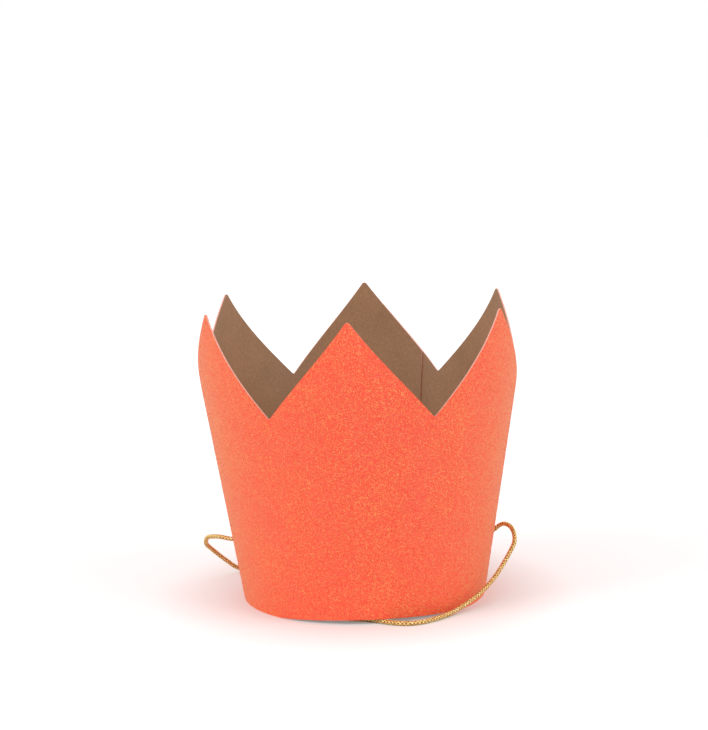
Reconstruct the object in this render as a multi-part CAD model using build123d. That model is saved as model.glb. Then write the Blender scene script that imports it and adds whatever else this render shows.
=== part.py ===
from build123d import *

import math
import os

# Paper party crown: one die-cut sheet of glitter card, rolled into a flared band with a glued lap,
# and one gold elastic that is knotted inside two punched holes.
# Millimetres and degrees. The crown stands upright on its lower edge, its front point towards -Y.
# An azimuth is counted from the front point, positive towards +X.

# The card
card_thickness = 0.45
base_radius = 36.3
flare_angle = 9.25
valley_height = 60.6
tip_height = 89.3
point_count = 6
curl_above_valleys = 2.0
point_curl_radius = 152.0
tip_rounding = 0.9
valley_rounding = 0.6

# The glued lap, its middle at the seam's azimuth
seam_azimuth = 165.0
lap_width = 10.0

# The lower edge, which rises a little at front and back where the elastic runs under it
edge_lift = 1.5
edge_lift_centre = 4.0
edge_lift_half_width = 27.0

# The punched holes for the elastic
hole_azimuth = 100.0
hole_height = 15.8
hole_diameter = 2.4

# The elastic and its knots; each end is tilted up from its hole's axis by an angle
elastic_diameter = 1.3
knot_diameter = 3.8
knot_length = 3.2
knot_rounding = 1.1
knot_tail_length = 4.0
knot_clearance = 0.15
left_exit_tilt = -21.0
right_exit_tilt = 39.0
straight_exit = 1.5

# Working allowances
cut_overshoot = 4.0
run_share = 0.45

# The elastic's route from its left hole to its right one: a loop in the air, the floor behind the
# crown, under the rear edge, round the inside, under the front edge and up to the right hole.
floor_level = 0.66
elastic_route = [
    (-41.1, 7.6, 14.8),
    (-44.4, 8.4, 15.4),
    (-46.4, 9.9, 15.2),
    (-49.4, 12.8, 14.3),
    (-50.2, 15.5, 11.4),
    (-48.4, 17.6, 9.1),
    (-46.2, 19.3, 6.5),
    (-44.3, 20.9, 4.5),
    (-42.2, 22.5, 2.2),
    (-39.9, 24.6, floor_level),
    (-36.0, 28.2, floor_level),
    (-31.0, 32.4, floor_level),
    (-25.0, 35.8, floor_level),
    (-18.4, 38.6, floor_level),
    (-11.6, 40.4, floor_level),
    (-5.2, 40.0, floor_level),
    (-1.0, 36.4, floor_level),
    (-0.8, 31.2, floor_level),
    (-5.4, 27.4, floor_level),
    (-13.6, 26.2, floor_level),
    (-22.0, 21.8, floor_level),
    (-28.2, 13.6, floor_level),
    (-31.0, 3.2, floor_level),
    (-29.6, -7.6, floor_level),
    (-24.4, -17.0, floor_level),
    (-16.8, -24.2, floor_level),
    (-8.8, -29.0, floor_level),
    (-1.8, -31.4, floor_level),
    (3.8, -33.2, floor_level),
    (8.4, -36.2, floor_level),
    (13.2, -38.1, floor_level),
    (18.2, -36.8, floor_level),
    (22.7, -32.8, floor_level),
    (27.0, -27.8, 0.95),
    (31.1, -23.4, 2.3),
    (34.7, -19.4, 3.9),
    (37.3, -15.7, 5.4),
    (39.4, -12.6, 7.0),
    (41.1, -9.8, 8.7),
    (42.7, -7.3, 10.7),
    (44.2, -5.0, 12.7),
    (45.7, -3.1, 15.1),
    (45.8, -1.1, 17.0),
    (45.0, 2.1, 18.7),
    (43.2, 4.8, 19.2),
    (41.5, 6.3, 18.5),
]


def turned(azimuth):
    """Unit vector in the floor plane at an azimuth."""
    angle = math.radians(azimuth)
    return Vector(math.sin(angle), -math.cos(angle), 0)


def lap_angle():
    """Turn that the lap covers."""
    return math.degrees(lap_width / base_radius)


def roll_start():
    """Azimuth of the card's inner end, where its roll begins under the lap."""
    return seam_azimuth - lap_angle() / 2


def spiral_centre(azimuth):
    """Centre of the half turn that holds an azimuth: the card winds out by its thickness in a turn."""
    past_start = (azimuth - roll_start()) % 360
    if past_start < 180:
        return Vector(0, 0, 0)
    return turned(roll_start()) * (card_thickness / 2)


def card_section():
    """Section of the card at +X: straight to just above the valleys, then curling in towards the tips."""
    slope = math.tan(math.radians(flare_angle))
    straight_height = valley_height + curl_above_valleys
    rise = tip_height - straight_height + cut_overshoot
    curl_sweep = math.degrees(rise / point_curl_radius)
    outside = Line((base_radius, 0), (base_radius + straight_height * slope, straight_height))
    curl = JernArc(outside @ 1, outside % 1, point_curl_radius, curl_sweep)
    inward = Location((-card_thickness, 0, 0))
    inside = outside.moved(inward)
    inside_curl = curl.moved(inward)
    foot = Line(inside @ 0, outside @ 0)
    top = Line(curl @ 1, inside_curl @ 1)
    return Plane.XZ * make_face([foot, outside, curl, top, inside_curl, inside])


def rolled_card():
    """The band as a two-centre spiral: two half turns and the lap that covers the start."""
    start = Rotation(0, 0, roll_start() - 90) * card_section()
    step = turned(roll_start()) * card_thickness
    first_axis = Axis((0, 0, 0), (0, 0, 1))
    second_axis = Axis(step / 2, (0, 0, 1))
    halfway = Rotation(0, 0, 180) * start
    first_half = revolve(start, axis=first_axis, revolution_arc=180)
    second_half = revolve(halfway, axis=second_axis, revolution_arc=180)
    lap = revolve(Pos(step) * start, axis=first_axis, revolution_arc=lap_angle())
    return first_half + second_half + lap


def point_notches():
    """The V cuts between the points, each wider with distance from the axis as a cut in flat card is."""
    half_pitch = math.radians(180 / point_count)
    top = tip_height + cut_overshoot
    widening = math.tan(half_pitch) * (top - valley_height) / (tip_height - valley_height)
    near = base_radius / 2
    far = base_radius * 2
    profiles = []
    for reach in (near, far):
        half_width = reach * widening
        triangle = Polyline(
            (reach, 0, valley_height),
            (reach, half_width, top),
            (reach, -half_width, top),
            close=True,
        )
        profiles.append(make_face(triangle.edges()))
    notch = loft(profiles, ruled=True)
    first_valley = 180 / point_count
    pitch = 360 / point_count
    return [Rotation(0, 0, first_valley + pitch * k - 90) * notch for k in range(point_count)]


def hole_frame(azimuth):
    """Plane on the card's outer face at a hole, its normal pointing out of the card."""
    flare = math.radians(flare_angle)
    radius = base_radius + hole_height * math.tan(flare)
    centre = spiral_centre(azimuth % 360)
    if centre.length > 0:
        radius += card_thickness / 2
    outward = turned(azimuth)
    normal = outward * math.cos(flare) - Vector(0, 0, math.sin(flare))
    origin = centre + outward * radius + Vector(0, 0, hole_height)
    return Plane(origin=origin, x_dir=turned(azimuth + 90), z_dir=normal)


def across_thickness(card, first_azimuth):
    """The short edges that cross the card at each tip, or at each valley, counted from one of them."""
    found = []
    for k in range(point_count):
        outward = turned(first_azimuth + 360 * k / point_count)
        for edge in card.edges():
            middle = edge @ 0.5
            aside = middle.cross(outward).Z
            level = abs((edge @ 0).Z - (edge @ 1).Z) < card_thickness / 2
            above_band = middle.Z > valley_height - card_thickness
            if middle.dot(outward) > 0 and abs(aside) < card_thickness and level and above_band:
                found.append(edge)
    return found


def make_card():
    card = rolled_card()
    lift_radius = (edge_lift_half_width**2 + edge_lift**2) / (2 * edge_lift)
    lift = Cylinder(lift_radius, 4 * base_radius, rotation=(90, 0, 0))
    card -= Pos(edge_lift_centre, 0, edge_lift - lift_radius) * lift
    for side in (-1, 1):
        punch = Cylinder(hole_diameter / 2, 4 * card_thickness)
        card -= hole_frame(side * hole_azimuth).location * punch
    for notch in point_notches():
        card -= notch
    card = fillet(across_thickness(card, 0), tip_rounding)
    return fillet(across_thickness(card, 180 / point_count), valley_rounding)


def exit_frame(azimuth, tilt):
    """Plane at the middle of a hole's depth, its normal along the elastic as it leaves the hole."""
    frame = hole_frame(azimuth)
    lean = math.radians(tilt)
    along = frame.z_dir * math.cos(lean) + frame.y_dir * math.sin(lean)
    middle = frame.origin - frame.z_dir * (card_thickness / 2)
    return Plane(origin=middle, x_dir=frame.x_dir, z_dir=along)


def knot_seat(azimuth, tilt):
    """Plane where the elastic leaves its knot, as near to the card's inside as the tilted knot allows."""
    lean = math.radians(abs(tilt))
    flat_radius = knot_diameter / 2 - knot_rounding
    reach = flat_radius * math.sin(lean) + knot_rounding * (1 - math.cos(lean))
    depth = (card_thickness / 2 + knot_clearance + reach) / math.cos(lean)
    return exit_frame(azimuth, tilt).offset(-depth)


def make_knot(azimuth, tilt):
    """A knot pulled down to a bead, with the elastic's cut tail behind it."""
    behind = (Align.CENTER, Align.CENTER, Align.MAX)
    bead = Cylinder(knot_diameter / 2, knot_length, align=behind)
    bead = fillet(bead.edges(), knot_rounding)
    tail = Pos(0, 0, -knot_length) * Cylinder(elastic_diameter / 2, knot_tail_length, align=behind)
    return knot_seat(azimuth, tilt).location * (bead + tail)


def elastic_points():
    left = exit_frame(-hole_azimuth, left_exit_tilt)
    right = exit_frame(hole_azimuth, right_exit_tilt)
    points = [knot_seat(-hole_azimuth, left_exit_tilt).origin, left.origin + left.z_dir * straight_exit]
    points += [Vector(*point) for point in elastic_route]
    points += [right.origin + right.z_dir * straight_exit, knot_seat(hole_azimuth, right_exit_tilt).origin]
    return points


def bend_radii(points):
    """Each bend as large as its two runs allow."""
    radii = []
    for before, corner, after in zip(points, points[1:], points[2:]):
        run_in = corner - before
        run_out = after - corner
        turn = math.radians(run_in.get_angle(run_out))
        shorter = min(run_in.length, run_out.length)
        radii.append(run_share * shorter / math.tan(turn / 2))
    return radii


def make_elastic():
    points = elastic_points()
    radii = bend_radii(points)
    path = FilletPolyline(*points, radius=radii)
    section = Plane(origin=path @ 0, z_dir=path % 0) * Circle(elastic_diameter / 2)
    elastic = sweep(section, path=path)
    print("bend radii:", ", ".join(f"{radius:.1f}" for radius in radii))
    print(f"elastic length {path.length:.1f}, volume {elastic.volume:.2f},",
          f"section times length {section.area * path.length:.2f}")
    return elastic


os.makedirs("parts", exist_ok=True)
export_step(make_card(), "parts/crown_card.step")
export_step(make_elastic(), "parts/elastic_cord.step")
export_step(make_knot(-hole_azimuth, left_exit_tilt), "parts/knot_left.step")
export_step(make_knot(hole_azimuth, right_exit_tilt), "parts/knot_right.step")
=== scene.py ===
import math

import bpy
from mathutils import Matrix, Vector


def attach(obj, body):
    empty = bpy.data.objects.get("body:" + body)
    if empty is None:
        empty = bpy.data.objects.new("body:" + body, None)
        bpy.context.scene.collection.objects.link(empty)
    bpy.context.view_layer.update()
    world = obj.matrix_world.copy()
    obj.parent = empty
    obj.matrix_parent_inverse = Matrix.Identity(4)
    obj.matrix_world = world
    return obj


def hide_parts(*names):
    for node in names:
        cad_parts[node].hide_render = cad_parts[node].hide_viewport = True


bl_info = {
    "name": "Paper party crown",
    "version": (1, 0, 0),
    "blender": (4, 5, 0),
    "location": "3D View > Sidebar > Crown",
    "description": "Builds a rolled crown of glitter card with its knotted gold elastic",
    "category": "Object",
}

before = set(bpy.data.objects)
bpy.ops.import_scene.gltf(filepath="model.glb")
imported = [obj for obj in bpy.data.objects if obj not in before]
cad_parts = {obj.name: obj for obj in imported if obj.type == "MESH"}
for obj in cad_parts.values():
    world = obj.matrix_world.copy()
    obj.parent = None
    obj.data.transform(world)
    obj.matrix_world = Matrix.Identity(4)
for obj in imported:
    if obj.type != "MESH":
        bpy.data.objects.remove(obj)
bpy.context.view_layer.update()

# Lengths are in metres and angles in radians. The crown stands upright, its front point towards -Y,
# and an azimuth is counted from the front point, positive towards +X.
MM = 0.001
UPWARDS = Vector((0.0, 0.0, 1.0))
WHITE = (1.0, 1.0, 1.0)

# The elastic's route from its left hole to its right one, in millimetres
FLOOR_LEVEL = 0.72
ELASTIC_ROUTE = [
    (-41.1, 7.6, 14.8),
    (-44.4, 8.4, 15.4),
    (-46.4, 9.9, 15.2),
    (-49.4, 12.8, 14.3),
    (-50.2, 15.5, 11.4),
    (-48.4, 17.6, 9.1),
    (-46.2, 19.3, 6.5),
    (-44.3, 20.9, 4.5),
    (-42.2, 22.5, 2.2),
    (-39.9, 24.6, FLOOR_LEVEL),
    (-36.0, 28.2, FLOOR_LEVEL),
    (-31.0, 32.4, FLOOR_LEVEL),
    (-25.0, 35.8, FLOOR_LEVEL),
    (-18.4, 38.6, FLOOR_LEVEL),
    (-11.6, 40.4, FLOOR_LEVEL),
    (-5.2, 40.0, FLOOR_LEVEL),
    (-1.0, 36.4, FLOOR_LEVEL),
    (-0.8, 31.2, FLOOR_LEVEL),
    (-5.4, 27.4, FLOOR_LEVEL),
    (-13.6, 26.2, FLOOR_LEVEL),
    (-22.0, 21.8, FLOOR_LEVEL),
    (-28.2, 13.6, FLOOR_LEVEL),
    (-31.0, 3.2, FLOOR_LEVEL),
    (-29.6, -7.6, FLOOR_LEVEL),
    (-24.4, -17.0, FLOOR_LEVEL),
    (-16.8, -24.2, FLOOR_LEVEL),
    (-8.8, -29.0, FLOOR_LEVEL),
    (-1.8, -31.4, FLOOR_LEVEL),
    (3.8, -33.2, FLOOR_LEVEL),
    (8.4, -36.2, FLOOR_LEVEL),
    (13.2, -38.1, FLOOR_LEVEL),
    (18.2, -36.8, FLOOR_LEVEL),
    (22.7, -32.8, FLOOR_LEVEL),
    (27.0, -27.8, 0.95),
    (31.1, -23.4, 2.3),
    (34.7, -19.4, 3.9),
    (37.3, -15.7, 5.4),
    (39.4, -12.6, 7.0),
    (41.1, -9.8, 8.7),
    (42.7, -7.3, 10.7),
    (44.2, -5.0, 12.7),
    (45.7, -3.1, 15.1),
    (45.8, -1.1, 17.0),
    (45.0, 2.1, 18.7),
    (43.2, 4.8, 19.2),
    (41.5, 6.3, 18.5),
]

# An overhand knot and its cut tail, in millimetres from the knot's seat, its third axis into the crown
KNOT_ROUTE = [
    (0.0, 0.0, 0.0),
    (0.3, 0.0, 0.5),
    (0.5, 0.0, 1.1),
    (0.5, 0.1, 1.8),
    (0.9, 0.5, 2.4),
    (0.3, 1.3, 2.5),
    (-0.9, 1.0, 2.2),
    (-1.3, -0.2, 1.9),
    (-0.6, -1.2, 1.7),
    (0.7, -1.1, 1.4),
    (1.3, 0.0, 1.1),
    (0.7, 1.1, 0.9),
    (-0.4, 1.0, 0.7),
    (-0.7, 0.2, 0.8),
    (-0.5, -0.1, 1.5),
    (-0.5, 0.0, 2.4),
    (-0.3, 0.1, 3.3),
    (0.0, 0.3, 4.2),
    (0.3, 0.3, 5.2),
    (0.4, 0.0, 6.3),
    (0.2, -0.3, 7.2),
]

# The knot's bead that each hole has to hold back, and the elastic's straight run out of a hole
KNOT_RADIUS = 1.9 * MM
KNOT_ROUNDING = 1.1 * MM
KNOT_CLEARANCE = 0.15 * MM
STRAIGHT_EXIT = 1.5 * MM

# Fineness of the card's mesh: its columns crowd together at each tip and valley, by a share from 0 to 1
CARD_COLUMNS = 481
CARD_ROWS = 71
CROWDING = 0.75
CROWDING_TRIES = 80
MERGE_DISTANCE = 0.001 * MM
SHARP_ANGLE = math.radians(40.0)

# The cutter of the holes, and how many thicknesses it reaches to each side of the card's face
PUNCH_SIDES = 48
PUNCH_REACH = 3

# The braid's steps, of which its core takes every third, and the core's share of the whole diameter
BRAID_STEP = 0.12 * MM
CORE_STEPS = 3
CORE_SIDES = 10
CORE_SHARE = 0.76

# Loose flakes: their scale varies between two limits, and none lies lower than this many radii
FLAKE_CORNERS = 3
SMALLEST_SCALE = 0.6
LARGEST_SCALE = 1.15
LOWEST_FLAKE = 1.3
STREW_SEED = 7
LEAN_SEED = 1
SCALE_SEED = 2
TONE_SEED = 3

# Glitter: where each tone lies along a flake's random draw, how far a patch of card shifts the draw,
# and how far the flakes of the glitter layer lean out of it and how rough they are
TONE_PLACES = (
    (0.0, "pink"),
    (0.05, "red"),
    (0.30, "coral"),
    (0.68, "coral"),
    (0.82, "orange"),
    (0.94, "gold"),
)
PATCHES_PER_METRE = 75.0
PATCH_SHIFT = 0.3
LAYER_LEAN = 0.7
SMOOTHEST_FLAKE = 0.28
ROUGHEST_FLAKE = 0.53
SHEEN_TINT = (1.0, 0.58, 0.22)

# Painted shade on the gold yarn where it dips under another strand
DIP_PAINTED_SHADE = (0.62, 0.47, 0.31)

# The studio: the floor glows white for the camera, but not round the crown's foot, which paints a shadow
# there over its real one; the lamps stand to its sides, and the sensor's width is in millimetres, as a lens
# is
FLOOR_HALF_WIDTH = 3.0
FLOOR_COLOUR = (0.86, 0.86, 0.86)
PAINTED_SHADOW_CORE = 34.0 * MM
PAINTED_SHADOW_REACH = 64.0 * MM
GLOW_STRENGTH = 0.25
KEY_PLACE = (-1.3, -0.7, 0.9)
KEY_SPREAD = math.radians(30.0)
FILL_PLACE = (1.3, -0.6, 0.8)
FILL_SPREAD = math.radians(40.0)
SENSOR_WIDTH = 36.0
CAMERA_AIM = Vector((-1.2, 0.0, 69.5)) * MM


# Settings


def length_setting(name, description, millimetres):
    return bpy.props.FloatProperty(
        name=name, description=description, default=millimetres * MM, unit="LENGTH", precision=5)


def angle_setting(name, description, degrees):
    return bpy.props.FloatProperty(
        name=name, description=description, default=math.radians(degrees), subtype="ANGLE")


def colour_setting(name, description, colour):
    return bpy.props.FloatVectorProperty(
        name=name, description=description, default=colour, subtype="COLOR", size=3)


def plain_setting(name, description, number):
    return bpy.props.FloatProperty(name=name, description=description, default=number)


def count_setting(name, description, count, fewest):
    return bpy.props.IntProperty(name=name, description=description, default=count, min=fewest)


class CrownCardSettings(bpy.types.PropertyGroup):
    """Sizes and colours of the rolled card."""

    back: colour_setting("Back", "Colour of the card's satin back", (0.358, 0.185, 0.091))
    edge: colour_setting("Cut edge", "Colour of the card's core at a cut edge", (0.87, 0.41, 0.33))
    base_radius: length_setting("Base radius", "Outer radius of the band at its foot", 36.3)
    flare: angle_setting("Flare", "Outward lean of the band", 9.25)
    valley_height: length_setting("Valley height", "Height of the card between two points", 60.6)
    tip_height: length_setting("Tip height", "Height of a point before its tip is rounded", 89.3)
    points: count_setting("Points", "Number of points round the crown", 6, fewest=3)
    curl_above_valleys: length_setting(
        "Curl above valleys", "Height above the valleys where the points start to curl", 2.0)
    curl_radius: length_setting("Curl radius", "Radius in which the points curl inwards", 152.0)
    tip_rounding: length_setting("Tip rounding", "Radius that the die leaves at each tip", 0.9)
    valley_rounding: length_setting("Valley rounding", "Radius that the die leaves between two points", 0.6)
    thickness: length_setting("Thickness", "Distance from one layer of the rolled card to the next", 0.45)
    glue_line: length_setting("Glue line", "Gap that the glue fills between the two layers of the lap", 0.02)
    seam_azimuth: angle_setting(
        "Seam azimuth", "Where the middle of the lap lies, counted from the front point", 165.0)
    lap_width: length_setting("Lap width", "Width of the glued lap at the foot", 10.0)
    edge_lift: length_setting("Edge lift", "How far the lower edge rises at front and back", 1.5)
    edge_lift_centre: length_setting(
        "Edge lift centre", "Where the lower edge rises most, counted along X", 4.0)
    edge_lift_half_width: length_setting(
        "Edge lift half width", "Half the width over which the lower edge rises", 27.0)
    hole_azimuth: angle_setting(
        "Hole azimuth", "Place of each punched hole, counted from the front point", 100.0)
    hole_height: length_setting("Hole height", "Height of the punched holes", 15.8)
    hole_diameter: length_setting("Hole diameter", "Diameter of the punched holes", 2.4)


class CrownGlitterSettings(bpy.types.PropertyGroup):
    """Sizes and colours of the glitter."""

    flake_size: length_setting("Flake size", "Width of one flake in the glitter layer", 0.18)
    loose_radius: length_setting("Loose flake radius", "Radius of a loose flake before it is scaled", 0.16)
    loose_depth: length_setting(
        "Loose flake depth", "From a loose flake's face to its heel in the lacquer", 0.08)
    proud: length_setting("Proud", "How far a loose flake's middle stands out of the card", 0.04)
    tilt: angle_setting("Tilt", "How far the loose flakes lean out of the card", 16.0)
    loose_density: plain_setting("Loose flakes", "Loose flakes on a square metre of card", 2.3e6)
    pink: colour_setting("Pink", "Few pale flakes", (1.0, 0.22, 0.17))
    red: colour_setting("Red", "Deepest flakes", (0.95, 0.070, 0.031))
    coral: colour_setting("Coral", "Main colour of the glitter", (0.98, 0.090, 0.043))
    orange: colour_setting("Orange", "Warm flakes", (1.0, 0.155, 0.062))
    gold: colour_setting("Gold", "Brightest flakes", (1.0, 0.38, 0.11))


class CrownElasticSettings(bpy.types.PropertyGroup):
    """Sizes and colours of the gold elastic."""

    diameter: length_setting("Diameter", "Outer diameter of the braided elastic", 1.3)
    length: length_setting("Length", "Length of the elastic between its two knots", 264.0)
    left_exit_tilt: angle_setting(
        "Left exit tilt", "Upward lean of the elastic in its left hole", -21.0)
    right_exit_tilt: angle_setting(
        "Right exit tilt", "Upward lean of the elastic in its right hole", 39.0)
    strands: count_setting("Strands", "Gold strands that turn each way round the core", 3, fewest=2)
    pitch: length_setting("Pitch", "Length in which a strand goes once round the core", 3.2)
    strand_width: length_setting("Strand width", "Width of one flat gold strand", 0.42)
    strand_thickness: length_setting("Strand thickness", "Thickness of one flat gold strand", 0.15)
    fluff: length_setting("Fluff", "How far the loose outer yarn adds to the diameter", 0.12)
    # The yarn's colours: its own gold, with painted shade and painted glints that a noise sets at random
    # spots
    painted_shade: colour_setting("Shade", "Yarn where it turns from the light", (0.64, 0.35, 0.12))
    gold: colour_setting("Gold", "Main colour of the yarn", (1.0, 0.70, 0.25))
    painted_glint: colour_setting("Glint", "Brightest spots of the yarn", (1.0, 0.90, 0.56))
    # The core's dark brown is partly its own colour and partly painted shade in the gaps between the strands
    core: colour_setting("Core", "Elastic core between the strands", (0.19, 0.085, 0.034))


class CrownStudioSettings(bpy.types.PropertyGroup):
    """Place of the camera and strength of the lights."""

    key_strength: plain_setting("Key lamp", "Strength of the lamp at the left", 1.0)
    fill_strength: plain_setting("Fill lamp", "Strength of the lamp at the right", 0.9)
    sky_strength: plain_setting("Surroundings", "Strength of the even light from all sides", 0.74)
    distance: length_setting(
        "Camera distance", "From the camera to the point that it looks at", 582.1)
    pitch: angle_setting("Camera pitch", "How far the camera looks down", 8.9)
    roll: angle_setting("Camera roll", "Turn of the picture about the line of sight", -1.64)
    around: angle_setting("Camera around", "Turn of the camera round the crown", 3.4)
    lens: plain_setting("Lens", "Focal length on a sensor 36 mm wide", 99.15)


# Formulas in node trees


def formula(kind, swapped=False):
    """A method that adds one Math node of this kind, its own value last where swapped."""

    def method(self, *others):
        node = self.tree.nodes.new("ShaderNodeMath")
        node.operation = kind
        values = (*others, self) if swapped else (self, *others)
        for socket, value in zip(node.inputs, values):
            feed(self.tree, socket, value)
        return Term(self.tree, node.outputs[0])

    return method


class Term:
    """One value in a node tree, so that nodes can be written as a formula."""

    def __init__(self, tree, socket):
        self.tree = tree
        self.socket = socket

    __add__ = formula("ADD")
    __sub__ = formula("SUBTRACT")
    __mul__ = formula("MULTIPLY")
    __truediv__ = formula("DIVIDE")
    __rtruediv__ = formula("DIVIDE", swapped=True)
    sine = formula("SINE")
    cosine = formula("COSINE")
    tangent = formula("TANGENT")
    root = formula("SQRT")
    size = formula("ABSOLUTE")
    floor = formula("FLOOR")
    greatest = formula("MAXIMUM")
    above = formula("GREATER_THAN")
    below = formula("LESS_THAN")

    def choose(self, if_one, if_zero):
        """One of two values, by whether this one is one or zero."""
        return (if_one - if_zero) * self + if_zero


def feed(tree, socket, value):
    """Set an input to a number, or link it to a term or a socket."""
    if isinstance(value, Term):
        tree.links.new(value.socket, socket)
    elif isinstance(value, bpy.types.NodeSocket):
        tree.links.new(value, socket)
    else:
        socket.default_value = value


def feed_all(tree, node, inputs):
    """Feed several inputs of a node by name."""
    for name, value in inputs.items():
        feed(tree, node.inputs[name], value)


def add(tree, kind, inputs=None, **settings):
    """Add a node with its settings and its inputs by name."""
    node = tree.nodes.new(kind)
    for name, value in settings.items():
        setattr(node, name, value)
    feed_all(tree, node, inputs or {})
    return node


def combined(tree, x, y, z):
    node = add(tree, "ShaderNodeCombineXYZ", {"X": x, "Y": y, "Z": z})
    return node.outputs["Vector"]


def vector_math(tree, kind, *values):
    """A Vector Math node of one or two vectors, or of a vector and a number for SCALE."""
    node = add(tree, "ShaderNodeVectorMath", operation=kind)
    second = node.inputs["Scale" if kind == "SCALE" else 1]
    for socket, value in zip((node.inputs[0], second), values):
        feed(tree, socket, value)
    return node.outputs["Value" if kind == "LENGTH" else "Vector"]


def point_place(tree):
    return add(tree, "GeometryNodeInputPosition").outputs["Position"]


def joined(tree, *parts):
    """Several geometries as one."""
    node = tree.nodes.new("GeometryNodeJoinGeometry")
    for part in parts:
        tree.links.new(part, node.inputs[0])
    return node.outputs[0]


def named_sockets(tree, direction, sockets):
    """Give a tree its inputs or outputs, a kind of socket for each name."""
    for label, kind in sockets.items():
        tree.interface.new_socket(label, in_out=direction, socket_type=f"NodeSocket{kind}")


def input_terms(tree):
    """A term for each input of a tree."""
    group_input = tree.nodes.new("NodeGroupInput")
    return {socket.name: Term(tree, socket) for socket in group_input.outputs if socket.name}


def geometry_tree(name, inputs):
    """A Geometry Nodes tree with named inputs, and a term for each input."""
    tree = bpy.data.node_groups.new(name, "GeometryNodeTree")
    tree.is_modifier = True
    named_sockets(tree, "INPUT", {"Geometry": "Geometry"})
    named_sockets(tree, "OUTPUT", {"Geometry": "Geometry"})
    named_sockets(tree, "INPUT", inputs)
    return tree, input_terms(tree)


def finish_tree(tree, geometry, materials):
    """End a tree in Realize Instances and Set Material, with a selection for each later material."""
    realized = add(tree, "GeometryNodeRealizeInstances", {"Geometry": geometry})
    geometry = realized.outputs["Geometry"]
    for material, selection in materials:
        painted = add(tree, "GeometryNodeSetMaterial", {"Geometry": geometry, "Material": material})
        if selection is not None:
            feed(tree, painted.inputs["Selection"], selection)
        geometry = painted.outputs["Geometry"]
    tree.links.new(geometry, tree.nodes.new("NodeGroupOutput").inputs[0])


def values_of(settings, labels):
    """Values for the inputs that are named like settings, as Strand Width is like strand_width."""
    return {label: getattr(settings, label.lower().replace(" ", "_")) for label in labels}


def set_modifier(piece, tree, values):
    """Give a piece the tree as a modifier and set its inputs by their identifiers."""
    modifier = piece.modifiers.new(tree.name, "NODES")
    modifier.node_group = tree
    for item in tree.interface.items_tree:
        if item.in_out == "INPUT" and item.name in values:
            modifier[item.identifier] = values[item.name]


def placed(name, data):
    """A new object in the scene."""
    piece = bpy.data.objects.new(name, data)
    bpy.context.scene.collection.objects.link(piece)
    return piece


def baked(source, name):
    """A plain mesh piece of what an object's modifiers make, which takes that object's place."""
    graph = bpy.context.evaluated_depsgraph_get()
    mesh = bpy.data.meshes.new_from_object(
        source.evaluated_get(graph), preserve_all_data_layers=True, depsgraph=graph)
    mesh.name = name
    bpy.data.objects.remove(source)
    return placed(name, mesh)


# Finishes


def object_place(tree):
    """Where a shaded spot lies in its piece's own coordinates."""
    return add(tree, "ShaderNodeTexCoord").outputs["Object"]


def noise(tree, per_metre, detail):
    """Smooth noise in the piece's own coordinates."""
    node = add(tree, "ShaderNodeTexNoise", {
        "Vector": object_place(tree), "Scale": per_metre, "Detail": detail})
    return node.outputs["Fac"]


def opaque(colour):
    return (*colour, 1.0)


def ramp(tree, value, stops):
    """A colour ramp through (place, colour) stops."""
    node = add(tree, "ShaderNodeValToRGB", {"Fac": value})
    elements = node.color_ramp.elements
    any_place = 0.5
    while len(elements) < len(stops):
        elements.new(any_place)
    for element, (place, colour) in zip(elements, stops):
        element.position = place
        element.color = opaque(colour)
    return node.outputs["Color"]


def mottled(tree, pattern, colour, contrast, half_range):
    """A colour that a noise makes darker and lighter by a share, over a range about the noise's middle."""
    tints = []
    for side in (-1, 1):
        tint = [min(1.0, channel * (1 + side * contrast)) for channel in colour]
        tints.append((0.5 + side * half_range, tint))
    return ramp(tree, pattern, tints)


def mixed(tree, factor, first, second, blend="MIX"):
    """A colour mix of two colours, whose sockets share their names with those for numbers."""
    node = add(tree, "ShaderNodeMix", {"Factor": factor}, data_type="RGBA", blend_type=blend)
    first_colour = 6
    second_colour = 7
    colour_result = 2
    feed(tree, node.inputs[first_colour], first)
    feed(tree, node.inputs[second_colour], second)
    return node.outputs[colour_result]


def new_material(name):
    material = bpy.data.materials.new(name)
    material.use_nodes = True
    return material, material.node_tree, material.node_tree.nodes["Principled BSDF"]


def glitter_tones(glitter):
    """A flake's colour by its random draw, with more gold in some patches and more pink in others."""
    tree = bpy.data.node_groups.new("Glitter tones", "ShaderNodeTree")
    named_sockets(tree, "INPUT", {"Draw": "Float"})
    named_sockets(tree, "OUTPUT", {"Color": "Color"})
    patches = Term(tree, noise(tree, PATCHES_PER_METRE, detail=3.0))
    draw = input_terms(tree)["Draw"] + (patches - 0.5) * PATCH_SHIFT
    tone = ramp(tree, draw, [(place, getattr(glitter, colour)) for place, colour in TONE_PLACES])
    feed(tree, tree.nodes.new("NodeGroupOutput").inputs["Color"], tone)
    return tree


def glitter_material(tones, flake_size):
    """Coral glitter card: flakes laid over each other in clear lacquer, each leaning its own way."""
    material, tree, shader = new_material("Coral glitter")
    cells = add(tree, "ShaderNodeTexVoronoi", {"Vector": object_place(tree), "Scale": 1 / flake_size})
    draws = add(tree, "ShaderNodeSeparateColor", {"Color": cells.outputs["Color"]})
    tone = add(tree, "ShaderNodeGroup", {"Draw": draws.outputs["Red"]}, node_tree=tones)
    rough_draw = Term(tree, draws.outputs["Green"])
    facing = add(tree, "ShaderNodeNewGeometry").outputs["Normal"]
    lean = vector_math(tree, "SUBTRACT", cells.outputs["Color"], (0.5, 0.5, 0.5))
    tilted = vector_math(tree, "ADD", facing, vector_math(tree, "SCALE", lean, LAYER_LEAN))
    feed_all(tree, shader, {
        "Base Color": tone.outputs["Color"],
        "Roughness": rough_draw * (ROUGHEST_FLAKE - SMOOTHEST_FLAKE) + SMOOTHEST_FLAKE,
        "Normal": vector_math(tree, "NORMALIZE", tilted),
        "Metallic": 0.25,
        "Sheen Weight": 0.7,
        "Sheen Roughness": 0.5,
        "Sheen Tint": opaque(SHEEN_TINT),
    })
    return material


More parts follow.
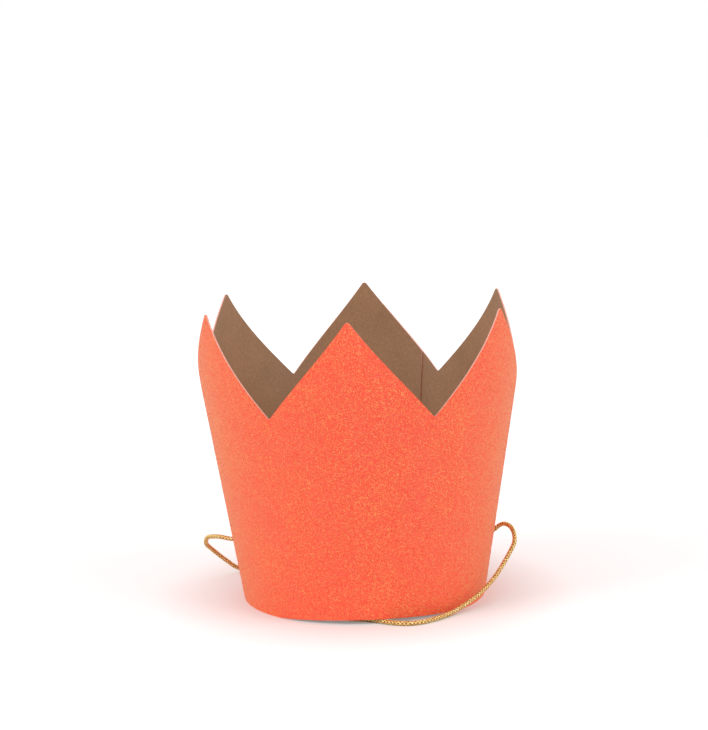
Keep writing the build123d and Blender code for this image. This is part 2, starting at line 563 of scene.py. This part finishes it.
def loose_flake_material(tones):
    """Loose metallic flakes, each in the tone of its own draw."""
    material, tree, shader = new_material("Loose flakes")
    draw = add(tree, "ShaderNodeAttribute", attribute_name="flake")
    tone = add(tree, "ShaderNodeGroup", {"Draw": draw.outputs["Fac"]}, node_tree=tones)
    feed_all(tree, shader, {"Base Color": tone.outputs["Color"], "Metallic": 0.5, "Roughness": 0.3})
    return material


def card_back_material(back):
    """Satin tan back of the card, with the faint fibres of its paper."""
    material, tree, shader = new_material("Satin tan card back")
    fibres = noise(tree, per_metre=1400.0, detail=4.0)
    clouds = noise(tree, per_metre=110.0, detail=2.0)
    cloud_share = 0.35
    pattern = mixed(tree, cloud_share, fibres, clouds)
    bump = add(tree, "ShaderNodeBump", {"Height": fibres, "Distance": 0.03 * MM})
    feed_all(tree, shader, {
        "Base Color": mottled(tree, pattern, back, contrast=0.14, half_range=0.15),
        "Roughness": 0.48,
        "Normal": bump.outputs["Normal"],
    })
    return material


def cut_edge_material(edge):
    """Pale pink cut edge, where the card's core shows between its two faces."""
    material, tree, shader = new_material("Pale pink cut edge")
    fibres = noise(tree, per_metre=2500.0, detail=3.0)
    colour = mottled(tree, fibres, edge, contrast=0.15, half_range=0.15)
    feed_all(tree, shader, {"Base Color": colour, "Roughness": 0.8})
    return material


def gold_strand_material(elastic):
    """Flat metallic gold yarn, with painted glints and painted shade at random spots, and painted shade that
    makes it brown where it dips and leaves it bright where it lies outside.
    """
    material, tree, shader = new_material("Gold yarn")
    # Painted glints and painted shade: a fine noise turns spots of the yarn brown, gold or pale at random
    painted_glint_noise = noise(tree, per_metre=1900.0, detail=2.0)
    colour = ramp(tree, painted_glint_noise, [
        (0.34, elastic.painted_shade),
        (0.52, elastic.gold),
        (0.68, elastic.painted_glint),
    ])
    height = add(tree, "ShaderNodeAttribute", attribute_name="over")
    # Painted shade: the yarn turns brown where the weave dips under another strand
    painted_dip_shade = ramp(tree, height.outputs["Fac"], [
        (0.15, DIP_PAINTED_SHADE),
        (0.60, WHITE),
    ])
    feed_all(tree, shader, {
        "Base Color": mixed(tree, 1.0, colour, painted_dip_shade, "MULTIPLY"),
        "Metallic": 0.75,
        "Roughness": 0.32,
    })
    return material


def core_material(core):
    """Elastic core that shows between the gold strands, its dark brown partly its own colour and partly
    painted shade for the gaps between them.
    """
    material, tree, shader = new_material("Brown elastic core")
    ribs = noise(tree, per_metre=3000.0, detail=2.0)
    colour = mottled(tree, ribs, core, contrast=0.5, half_range=0.2)
    feed_all(tree, shader, {"Base Color": colour, "Roughness": 0.7})
    return material


# The card

# Inputs of the card's tree that are named like its settings, and those that its operator works out
CARD_SIZES = (
    "Base Radius", "Flare", "Valley Height", "Tip Height", "Curl Radius", "Tip Rounding",
    "Valley Rounding", "Thickness", "Glue Line", "Edge Lift", "Edge Lift Centre", "Edge Lift Half Width",
)
CARD_WORKED_OUT = ("Points", "Curl Start", "Roll Start", "Crowding", "First Column", "Column Turn")


def outward(azimuth):
    """Unit vector in the floor plane at an azimuth."""
    return Vector((math.sin(azimuth), -math.cos(azimuth), 0.0))


def roll_start(card):
    """Azimuth of the card's inner end, under the lap."""
    return card.seam_azimuth - card.lap_width / card.base_radius / 2


def before_crowding(azimuth, corners):
    """The even place from which crowding moves a column to this azimuth, found by repeated tries."""
    even = azimuth
    for _ in range(CROWDING_TRIES):
        even = azimuth + math.sin(even * corners) * CROWDING / corners
    return even


def rounded(edge, aside, steepness, radius, corner_height, side):
    """An edge's height with one corner rounded: side is 1 in a valley and -1 at a tip."""
    stretch = (steepness * steepness + 1).root()
    centre = radius * stretch * side + corner_height
    arc = centre - (radius * radius - aside * aside).root() * side
    return aside.below(radius * steepness / stretch).choose(arc, edge)


def upper_edge(given, azimuth, slope, tip_radius):
    """Height of the upper edge, a straight cut in flat card with rounded tips and valleys."""
    half_pitch = math.pi / given["Points"]
    pitch = half_pitch * 2
    from_valley = (azimuth - pitch * (azimuth / pitch).floor() - half_pitch).size()
    half_tangent = half_pitch.tangent()
    rise = (given["Tip Height"] - given["Valley Height"]) / half_tangent
    straight_edge = given["Valley Height"] + rise * from_valley.tangent()
    valley_radius = given["Base Radius"] + given["Valley Height"] * slope
    tip_steepness = rise * (half_tangent * half_tangent + 1) / tip_radius
    valley_edge = rounded(straight_edge, from_valley * valley_radius, rise / valley_radius,
                          given["Valley Rounding"], given["Valley Height"], 1)
    return rounded(valley_edge, (half_pitch - from_valley) * tip_radius, tip_steepness,
                   given["Tip Rounding"], given["Tip Height"], -1)


def lower_edge(given, azimuth):
    """Height of the lower edge, an arc that rises at front and back."""
    lift = given["Edge Lift"]
    half_width = given["Edge Lift Half Width"]
    radius = (half_width * half_width + lift * lift) / (lift * 2)
    aside = azimuth.sine() * given["Base Radius"] - given["Edge Lift Centre"]
    return ((radius * radius - aside * aside).root() - radius + lift).greatest(0.0)


def wound(tree, given, azimuth, radius, height):
    """Place of a spot on the card's back, wound outwards by one thickness in a turn."""
    past_start = azimuth - given["Roll Start"]
    second_half = past_start.above(math.pi)
    lapped = past_start.above(math.tau)
    step = given["Thickness"] / 2
    centre = (second_half - lapped) * step
    reach = radius + (second_half + lapped) * step - given["Thickness"] + given["Glue Line"]
    x = azimuth.sine() * reach + given["Roll Start"].sine() * centre
    y = azimuth.cosine() * reach + given["Roll Start"].cosine() * centre
    return combined(tree, x, y * -1.0, height)


def finish_card(tree, given, back):
    """The card's thickness, from its back to its glittered front, and the finish of each face."""
    level = vector_math(tree, "MULTIPLY", point_place(tree), (1.0, 1.0, 0.0))
    front = add(tree, "GeometryNodeExtrudeMesh", {
        "Mesh": back, "Offset": vector_math(tree, "NORMALIZE", level),
        "Offset Scale": given["Thickness"] - given["Glue Line"], "Individual": False})
    turned_back = add(tree, "GeometryNodeFlipFaces", {"Mesh": back})
    shell = joined(tree, turned_back.outputs["Mesh"], front.outputs["Mesh"])
    closed = add(tree, "GeometryNodeMergeByDistance", {"Geometry": shell, "Distance": MERGE_DISTANCE})
    finish_tree(tree, closed.outputs["Geometry"], [
        (given["Back"], None),
        (given["Front"], front.outputs["Top"]),
        (given["Edge"], front.outputs["Side"]),
    ])


def card_tree():
    """The rolled card as a flat grid that is cut to its outline, wound up and given its thickness."""
    tree, given = geometry_tree("Rolled crown card", {
        **dict.fromkeys(CARD_SIZES + CARD_WORKED_OUT, "Float"),
        **dict.fromkeys(("Columns", "Rows"), "Int"),
        **dict.fromkeys(("Front", "Back", "Edge"), "Material"),
    })
    grid = add(tree, "GeometryNodeMeshGrid", {
        "Size X": 1.0, "Size Y": 1.0, "Vertices X": given["Columns"], "Vertices Y": given["Rows"]})
    spot = add(tree, "ShaderNodeSeparateXYZ", {"Vector": point_place(tree)})
    share_along = Term(tree, spot.outputs["X"]) + 0.5
    share_up = Term(tree, spot.outputs["Y"]) + 0.5
    even = share_along * given["Column Turn"] + given["First Column"]
    corners = given["Points"] * 2
    azimuth = even - (even * corners).sine() * given["Crowding"] / corners

    # A straight flare, then the curl about its own centre
    slope = given["Flare"].tangent()
    curl_root = given["Base Radius"] + given["Curl Start"] * slope
    curl_centre = curl_root - given["Curl Radius"] * given["Flare"].cosine()
    curl_height = given["Curl Start"] + given["Curl Radius"] * given["Flare"].sine()
    lower = lower_edge(given, azimuth)
    upper = upper_edge(given, azimuth, slope, curl_centre + given["Curl Radius"])
    height = lower + (upper - lower) * share_up
    flared = given["Base Radius"] + height * slope
    over = height - curl_height
    curled = curl_centre + (given["Curl Radius"] * given["Curl Radius"] - over * over).root()
    radius = height.above(given["Curl Start"]).choose(curled, flared)

    back = add(tree, "GeometryNodeSetPosition", {
        "Geometry": grid.outputs["Mesh"], "Position": wound(tree, given, azimuth, radius, height)})
    finish_card(tree, given, back.outputs["Geometry"])
    return tree


def hole_frame(card, azimuth):
    """Place of a hole on the card's outer face, with the directions out of the card and up along it."""
    radius = card.base_radius + card.hole_height * math.tan(card.flare)
    past_start = (azimuth - roll_start(card)) % math.tau
    centre = Vector()
    if past_start > math.pi:
        centre = outward(roll_start(card)) * (card.thickness / 2)
        radius += card.thickness / 2
    out = outward(azimuth)
    normal = out * math.cos(card.flare) - UPWARDS * math.sin(card.flare)
    along_card = out * math.sin(card.flare) + UPWARDS * math.cos(card.flare)
    return centre + out * radius + UPWARDS * card.hole_height, normal, along_card


def make_punch(card):
    """One cutter for both holes."""
    corners = []
    faces = []
    for side in (-1, 1):
        origin, normal, along_card = hole_frame(card, side * card.hole_azimuth)
        aside = along_card.cross(normal)
        first = len(corners)
        for end in (-1, 1):
            for k in range(PUNCH_SIDES):
                angle = math.tau * k / PUNCH_SIDES
                rim = (aside * math.cos(angle) + along_card * math.sin(angle)) * (card.hole_diameter / 2)
                corners.append(origin + rim + normal * (end * PUNCH_REACH * card.thickness))
        near_end = [first + k for k in range(PUNCH_SIDES)]
        far_end = [k + PUNCH_SIDES for k in near_end]
        faces.append(near_end[::-1])
        faces.append(far_end)
        for k in range(PUNCH_SIDES):
            after = (k + 1) % PUNCH_SIDES
            faces.append([near_end[k], near_end[after], far_end[after], far_end[k]])
    mesh = bpy.data.meshes.new("hole_punch")
    mesh.from_pydata(corners, [], faces)
    return placed("hole_punch", mesh)


def punch_holes(sheet, punch):
    """Cut the holes, and give their walls the punch's material."""
    cut = sheet.modifiers.new("Punched holes", "BOOLEAN")
    cut.object = punch
    cut.operation = "DIFFERENCE"
    cut.solver = "EXACT"
    cut.material_mode = "TRANSFER"


class CROWN_OT_card(bpy.types.Operator):
    """Roll the die-cut glitter card, glue its lap and punch its holes"""

    bl_idname = "crown.card"
    bl_label = "Rolled card"

    def execute(self, context):
        card = context.scene.crown_card
        glitter = context.scene.crown_glitter
        front = glitter_material(glitter_tones(glitter), glitter.flake_size)
        edge = cut_edge_material(card.edge)
        start = roll_start(card)
        end = start + math.tau + card.lap_width / card.base_radius
        first_column = before_crowding(start, 2 * card.points)
        last_column = before_crowding(end, 2 * card.points)
        sheet = placed("card_blank", bpy.data.meshes.new("card_blank"))
        set_modifier(sheet, card_tree(), {
            **values_of(card, CARD_SIZES),
            "Points": float(card.points), "Curl Start": card.valley_height + card.curl_above_valleys,
            "Roll Start": start, "Crowding": CROWDING,
            "First Column": first_column, "Column Turn": last_column - first_column,
            "Columns": CARD_COLUMNS, "Rows": CARD_ROWS,
            "Front": front, "Back": card_back_material(card.back), "Edge": edge,
        })
        punch = make_punch(card)
        punch.data.materials.append(edge)
        punch_holes(sheet, punch)
        crown = baked(sheet, "crown_sheet")
        bpy.data.objects.remove(punch)
        crown.data.shade_smooth()
        crown.data.set_sharp_from_angle(angle=SHARP_ANGLE)
        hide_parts("crown_card")
        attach(crown, "root")
        return {"FINISHED"}


# The loose glitter

FLAKE_SIZES = ("Loose Density", "Loose Radius", "Loose Depth", "Proud", "Tilt")


def random_value(tree, kind, low, high, seed):
    """A random number or vector, a new one for each point, from the node's sockets for its kind."""
    node = add(tree, "FunctionNodeRandomValue", {"Seed": seed}, data_type=kind)
    low_socket, high_socket, output = {"FLOAT_VECTOR": (0, 1, 0), "FLOAT": (2, 3, 1)}[kind]
    feed(tree, node.inputs[low_socket], low)
    feed(tree, node.inputs[high_socket], high)
    return node.outputs[output]


def flake_turn(tree, given, facing):
    """A flake's own turn about the card's normal, and its lean out of the card."""
    back = given["Tilt"] * -1.0
    leaning = random_value(
        tree, "FLOAT_VECTOR", combined(tree, back, back, 0.0),
        combined(tree, given["Tilt"], given["Tilt"], math.tau), LEAN_SEED)
    turn = add(tree, "FunctionNodeEulerToRotation", {"Euler": leaning})
    turned = add(tree, "FunctionNodeRotateRotation", {
        "Rotation": facing, "Rotate By": turn.outputs["Rotation"]}, rotation_space="LOCAL")
    return turned.outputs["Rotation"]


def flake_tree():
    """Flat flakes strewn over the glittered side, each leaning its own way with its heel in the card."""
    tree, given = geometry_tree("Loose glitter flakes", {
        **dict.fromkeys(FLAKE_SIZES, "Float"),
        **dict.fromkeys(("Glittered", "Flake"), "Material"),
    })
    side = add(tree, "GeometryNodeMaterialSelection", {"Material": given["Glittered"]})
    strewn = add(tree, "GeometryNodeDistributePointsOnFaces", {
        "Mesh": given["Geometry"], "Selection": side.outputs["Selection"],
        "Density": given["Loose Density"], "Seed": STREW_SEED})
    sunk = vector_math(tree, "SCALE", strewn.outputs["Normal"], given["Proud"] - given["Loose Depth"])
    seated = add(tree, "GeometryNodeSetPosition", {"Geometry": strewn.outputs["Points"], "Offset": sunk})
    spot = add(tree, "ShaderNodeSeparateXYZ", {"Vector": point_place(tree)})
    low = Term(tree, spot.outputs["Z"]).below(given["Loose Radius"] * LOWEST_FLAKE)
    kept = add(tree, "GeometryNodeDeleteGeometry", {
        "Geometry": seated.outputs["Geometry"], "Selection": low}, domain="POINT")
    flake = add(tree, "GeometryNodeMeshCone", {
        "Vertices": FLAKE_CORNERS, "Radius Top": given["Loose Radius"], "Radius Bottom": 0.0,
        "Depth": given["Loose Depth"]}, fill_type="NGON")
    flakes = add(tree, "GeometryNodeInstanceOnPoints", {
        "Points": kept.outputs["Geometry"], "Instance": flake.outputs["Mesh"],
        "Rotation": flake_turn(tree, given, strewn.outputs["Rotation"]),
        "Scale": random_value(tree, "FLOAT", SMALLEST_SCALE, LARGEST_SCALE, SCALE_SEED)})
    toned = add(tree, "GeometryNodeStoreNamedAttribute", {
        "Geometry": flakes.outputs["Instances"], "Name": "flake",
        "Value": random_value(tree, "FLOAT", 0.0, 1.0, TONE_SEED)}, data_type="FLOAT", domain="INSTANCE")
    finish_tree(tree, toned.outputs["Geometry"], [(given["Flake"], None)])
    return tree


class CROWN_OT_glitter(bpy.types.Operator):
    """Strew loose flakes over the glittered side of the card"""

    bl_idname = "crown.glitter"
    bl_label = "Loose glitter"

    def execute(self, context):
        glitter = context.scene.crown_glitter
        card_mesh = bpy.data.objects["crown_sheet"].data.copy()
        strewn = placed("strewn_card", card_mesh)
        set_modifier(strewn, flake_tree(), {
            **values_of(glitter, FLAKE_SIZES),
            "Glittered": bpy.data.materials["Coral glitter"],
            "Flake": loose_flake_material(bpy.data.node_groups["Glitter tones"]),
        })
        flakes = baked(strewn, "loose_glitter")
        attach(flakes, "root")
        return {"FINISHED"}


# The elastic

STRAND_SIZES = ("Pitch", "Strand Width", "Strand Thickness")


def elastic_ends(elastic):
    """Side, tilt and name of the elastic's two ends."""
    return (-1, elastic.left_exit_tilt, "left"), (1, elastic.right_exit_tilt, "right")


def exit_frame(card, side, tilt):
    """Middle of a hole's depth and the direction in which the elastic leaves it."""
    origin, normal, along_card = hole_frame(card, side * card.hole_azimuth)
    along = normal * math.cos(tilt) + along_card * math.sin(tilt)
    return origin - normal * (card.thickness / 2), along


def knot_seat(card, side, tilt):
    """Where the elastic leaves its knot, just inside the card, and its direction there."""
    middle, along = exit_frame(card, side, tilt)
    lean = abs(tilt)
    reach = (KNOT_RADIUS - KNOT_ROUNDING) * math.sin(lean) + KNOT_ROUNDING * (1 - math.cos(lean))
    depth = (card.thickness / 2 + KNOT_CLEARANCE + reach) / math.cos(lean)
    return middle - along * depth, along


def elastic_points(card, elastic):
    """The route with the two worked-out points at each end."""
    ends = []
    for side, tilt, _ in elastic_ends(elastic):
        middle, along = exit_frame(card, side, tilt)
        seat, _ = knot_seat(card, side, tilt)
        ends.append((seat, middle + along * STRAIGHT_EXIT))
    route = [Vector(point) * MM for point in ELASTIC_ROUTE]
    return [*ends[0], *route, *reversed(ends[1])]


def knot_points(card, side, tilt):
    """The overhand knot's route, laid behind its seat along the elastic."""
    seat, along = knot_seat(card, side, tilt)
    aside = UPWARDS.cross(along).normalized()
    other = along.cross(aside)
    return [seat + (aside * x + other * y - along * z) * MM for x, y, z in KNOT_ROUTE]


def smooth_line(name, points):
    """A curve object with one NURBS spline that its control points draw."""
    curve = bpy.data.curves.new(name, "CURVE")
    curve.dimensions = "3D"
    curve.resolution_u = 12
    spline = curve.splines.new("NURBS")
    spline.points.add(len(points) - 1)
    for control, point in zip(spline.points, points):
        control.co = (*point, 1.0)
    spline.order_u = 3
    spline.use_endpoint_u = True
    return placed(name, curve)


def points_along(line):
    """Points read from a curve with no bevel."""
    graph = bpy.context.evaluated_depsgraph_get()
    mesh = bpy.data.meshes.new_from_object(line.evaluated_get(graph))
    return [vertex.co.copy() for vertex in mesh.vertices]


def resampled(tree, curve, step):
    node = add(tree, "GeometryNodeResampleCurve", {"Curve": curve, "Length": step}, mode="LENGTH")
    return node.outputs["Curve"]


def strand_lines(tree, given, line):
    """The strands' lines, half of them turning each way round the core, over one and under one."""
    copies = add(tree, "GeometryNodeDuplicateElements", {
        "Geometry": line, "Amount": given["Strands"] * 2}, domain="SPLINE")
    index = Term(tree, copies.outputs["Duplicate Index"])
    returning = index.above(given["Strands"] - 0.5)
    direction = returning * -2.0 + 1.0
    distance = Term(tree, add(tree, "GeometryNodeSplineParameter").outputs["Length"])
    turns = distance / given["Pitch"]
    angle = (turns * direction + index / given["Strands"]) * math.tau
    normal = add(tree, "GeometryNodeInputNormal").outputs["Normal"]
    tangent = add(tree, "GeometryNodeInputTangent").outputs["Tangent"]
    binormal = vector_math(tree, "CROSS_PRODUCT", tangent, normal)
    spoke = vector_math(
        tree, "ADD",
        vector_math(tree, "SCALE", normal, angle.cosine()),
        vector_math(tree, "SCALE", binormal, angle.sine()))
    facing = add(tree, "GeometryNodeSetCurveNormal", {
        "Curve": copies.outputs["Geometry"], "Normal": spoke}, mode="FREE")
    weave = (turns * given["Strands"] * math.tau).cosine() * direction
    # The weave's height, kept as "over" for the yarn's painted shade where it dips
    heights = add(tree, "GeometryNodeStoreNamedAttribute", {
        "Geometry": facing.outputs["Curve"], "Name": "over", "Value": weave / 2 + 0.5},
        data_type="FLOAT", domain="POINT")
    reach = (given["Diameter"] - given["Strand Thickness"] * 2) / 2
    reach = reach + weave * given["Strand Thickness"] / 2
    own_normal = add(tree, "GeometryNodeInputNormal").outputs["Normal"]
    strands = add(tree, "GeometryNodeSetPosition", {
        "Geometry": heights.outputs["Geometry"], "Offset": vector_math(tree, "SCALE", own_normal, reach)})
    return strands.outputs["Geometry"]


def braid_tree():
    """A core and the flat strands that are braided round it."""
    tree, given = geometry_tree("Braided elastic", {
        **dict.fromkeys(STRAND_SIZES + ("Strands", "Diameter", "Core Diameter", "Step"), "Float"),
        **dict.fromkeys(("Strand", "Core"), "Material"),
    })
    line = given["Geometry"]
    ribbon = add(tree, "GeometryNodeCurvePrimitiveQuadrilateral", {
        "Width": given["Strand Thickness"], "Height": given["Strand Width"]}, mode="RECTANGLE")
    yarn = add(tree, "GeometryNodeCurveToMesh", {
        "Curve": strand_lines(tree, given, resampled(tree, line, given["Step"])),
        "Profile Curve": ribbon.outputs["Curve"], "Fill Caps": True})
    hoop = add(tree, "GeometryNodeCurvePrimitiveCircle", {
        "Resolution": CORE_SIDES, "Radius": given["Core Diameter"] / 2})
    core = add(tree, "GeometryNodeCurveToMesh", {
        "Curve": resampled(tree, line, given["Step"] * CORE_STEPS),
        "Profile Curve": hoop.outputs["Curve"], "Fill Caps": True})
    smooth_core = add(tree, "GeometryNodeSetShadeSmooth", {"Geometry": core.outputs["Mesh"]})
    marked = add(tree, "GeometryNodeStoreNamedAttribute", {
        "Geometry": yarn.outputs["Mesh"], "Name": "yarn", "Value": True}, data_type="BOOLEAN", domain="FACE")
    both = joined(tree, marked.outputs["Geometry"], smooth_core.outputs["Geometry"])
    is_yarn = add(tree, "GeometryNodeInputNamedAttribute", {"Name": "yarn"}, data_type="BOOLEAN")
    finish_tree(tree, both, [
        (given["Core"], None),
        (given["Strand"], is_yarn.outputs["Attribute"]),
    ])
    return tree


def braid(line, tree, elastic, name):
    """The braided piece that follows a smooth line."""
    set_modifier(line, tree, {
        **values_of(elastic, STRAND_SIZES),
        "Strands": float(elastic.strands), "Diameter": elastic.diameter + elastic.fluff,
        "Core Diameter": elastic.diameter * CORE_SHARE, "Step": BRAID_STEP,
        "Strand": bpy.data.materials["Gold yarn"], "Core": bpy.data.materials["Brown elastic core"],
    })
    return baked(line, name)


class CROWN_OT_elastic(bpy.types.Operator):
    """Braid the gold elastic and tie its two knots inside the card"""

    bl_idname = "crown.elastic"
    bl_label = "Gold elastic"

    def execute(self, context):
        card = context.scene.crown_card
        elastic = context.scene.crown_elastic
        gold_strand_material(elastic)
        core_material(elastic.core)
        tree = braid_tree()
        for side, tilt, name in elastic_ends(elastic):
            knot_line = smooth_line(f"knot_line_{name}", knot_points(card, side, tilt))
            knot = braid(knot_line, tree, elastic, f"overhand_knot_{name}")
            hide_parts(f"knot_{name}")
            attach(knot, "root")
        points = elastic_points(card, elastic)
        line = smooth_line("elastic_line", points)
        path = points_along(line)
        cord = braid(line, tree, elastic, "braided_elastic")
        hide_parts("elastic_cord")
        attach(cord, "root")
        return {"FINISHED"}


# The studio


def white_floor_material():
    """Matt white floor that the camera sees as plain white, with the crown's real shadow and a painted
    shadow under and round its foot.
    """
    material, tree, shader = new_material("White floor")
    seen = Term(tree, add(tree, "ShaderNodeLightPath").outputs["Is Camera Ray"])
    # Painted shadow: the glow for the camera starts 34 mm from the crown's middle and is full at 64 mm
    glow_past_painted_shadow = add(tree, "ShaderNodeMapRange", {
        "Value": vector_math(tree, "LENGTH", object_place(tree)),
        "From Min": PAINTED_SHADOW_CORE, "From Max": PAINTED_SHADOW_REACH, "To Min": 0.0, "To Max": GLOW_STRENGTH})
    feed_all(tree, shader, {
        "Base Color": opaque(FLOOR_COLOUR),
        "Roughness": 0.9,
        "Emission Color": opaque(WHITE),
        "Emission Strength": seen * Term(tree, glow_past_painted_shadow.outputs["Result"]),
    })
    return material


def white_world(strength):
    """Plain white surroundings for the camera and for gloss, and softer light on the crown."""
    world = bpy.data.worlds.new("White studio")
    world.use_nodes = True
    tree = world.node_tree
    path = add(tree, "ShaderNodeLightPath")
    seen = Term(tree, path.outputs["Is Camera Ray"]).greatest(path.outputs["Is Glossy Ray"])
    seen = seen.greatest(path.outputs["Is Transmission Ray"])
    feed_all(tree, tree.nodes["Background"], {
        "Color": opaque(WHITE), "Strength": seen * (1.0 - strength) + strength})
    return world


def add_floor():
    """The floor under the crown."""
    half = FLOOR_HALF_WIDTH
    mesh = bpy.data.meshes.new("floor")
    corners = [(-half, -half, 0.0), (half, -half, 0.0), (half, half, 0.0), (-half, half, 0.0)]
    mesh.from_pydata(corners, [], [(0, 1, 2, 3)])
    mesh.materials.append(white_floor_material())
    return placed("floor", mesh)


def add_lamp(name, place, spread, strength):
    """A wide, even lamp that shines from a place towards the crown."""
    light = bpy.data.lights.new(name, "SUN")
    light.angle = spread
    light.energy = strength
    lamp = placed(name, light)
    lamp.location = place
    lamp.rotation_euler = (-Vector(place)).to_track_quat("-Z", "Y").to_euler()


def camera_matrix(studio):
    """The camera's place and axes, first level with the crown's front and then turned round it."""
    ahead = Vector((0.0, math.cos(studio.pitch), -math.sin(studio.pitch)))
    level_up = Vector((0.0, math.sin(studio.pitch), math.cos(studio.pitch)))
    side = Vector((1.0, 0.0, 0.0))
    right = side * math.cos(studio.roll) + level_up * math.sin(studio.roll)
    up = level_up * math.cos(studio.roll) - side * math.sin(studio.roll)
    place = Matrix.Translation(CAMERA_AIM - ahead * studio.distance)
    axes = Matrix((right, up, -ahead)).transposed().to_4x4()
    return Matrix.Rotation(studio.around, 4, "Z") @ place @ axes


def add_camera(studio):
    """The camera that sees the crown as the photograph does."""
    lens = bpy.data.cameras.new("camera")
    lens.sensor_fit = "HORIZONTAL"
    lens.sensor_width = SENSOR_WIDTH
    lens.lens = studio.lens
    camera = placed("camera", lens)
    camera.matrix_world = camera_matrix(studio)
    return camera


class CROWN_OT_studio(bpy.types.Operator):
    """Set the white floor, the soft lamps and the camera"""

    bl_idname = "crown.studio"
    bl_label = "White studio"

    def execute(self, context):
        studio = context.scene.crown_studio
        floor = add_floor()
        add_lamp("key_lamp", KEY_PLACE, KEY_SPREAD, studio.key_strength)
        add_lamp("fill_lamp", FILL_PLACE, FILL_SPREAD, studio.fill_strength)
        context.scene.world = white_world(studio.sky_strength)
        context.scene.camera = add_camera(studio)
        context.scene.view_settings.view_transform = "Standard"
        return {"FINISHED"}


# The add-on

SETTINGS = {
    "crown_card": CrownCardSettings,
    "crown_glitter": CrownGlitterSettings,
    "crown_elastic": CrownElasticSettings,
    "crown_studio": CrownStudioSettings,
}
OPERATORS = (CROWN_OT_card, CROWN_OT_glitter, CROWN_OT_elastic, CROWN_OT_studio)


class CROWN_PT_panel(bpy.types.Panel):
    """Lists the crown's settings and pieces in the sidebar"""

    bl_label = "Paper party crown"
    bl_space_type = "VIEW_3D"
    bl_region_type = "UI"
    bl_category = "Crown"

    def draw(self, context):
        for step in OPERATORS:
            self.layout.operator(step.bl_idname)
        for name in SETTINGS:
            settings = getattr(context.scene, name)
            box = self.layout.box()
            for label in settings.__annotations__:
                box.prop(settings, label)


CLASSES = (*SETTINGS.values(), *OPERATORS, CROWN_PT_panel)


def register():
    for part in CLASSES:
        bpy.utils.register_class(part)
    for name, settings in SETTINGS.items():
        setattr(bpy.types.Scene, name, bpy.props.PointerProperty(type=settings))


def unregister():
    for name in SETTINGS:
        delattr(bpy.types.Scene, name)
    for part in reversed(CLASSES):
        bpy.utils.unregister_class(part)


def main():
    register()
    bpy.ops.crown.card()
    bpy.ops.crown.glitter()
    bpy.ops.crown.elastic()
    bpy.ops.crown.studio()


if __name__ == "__main__":
    main()
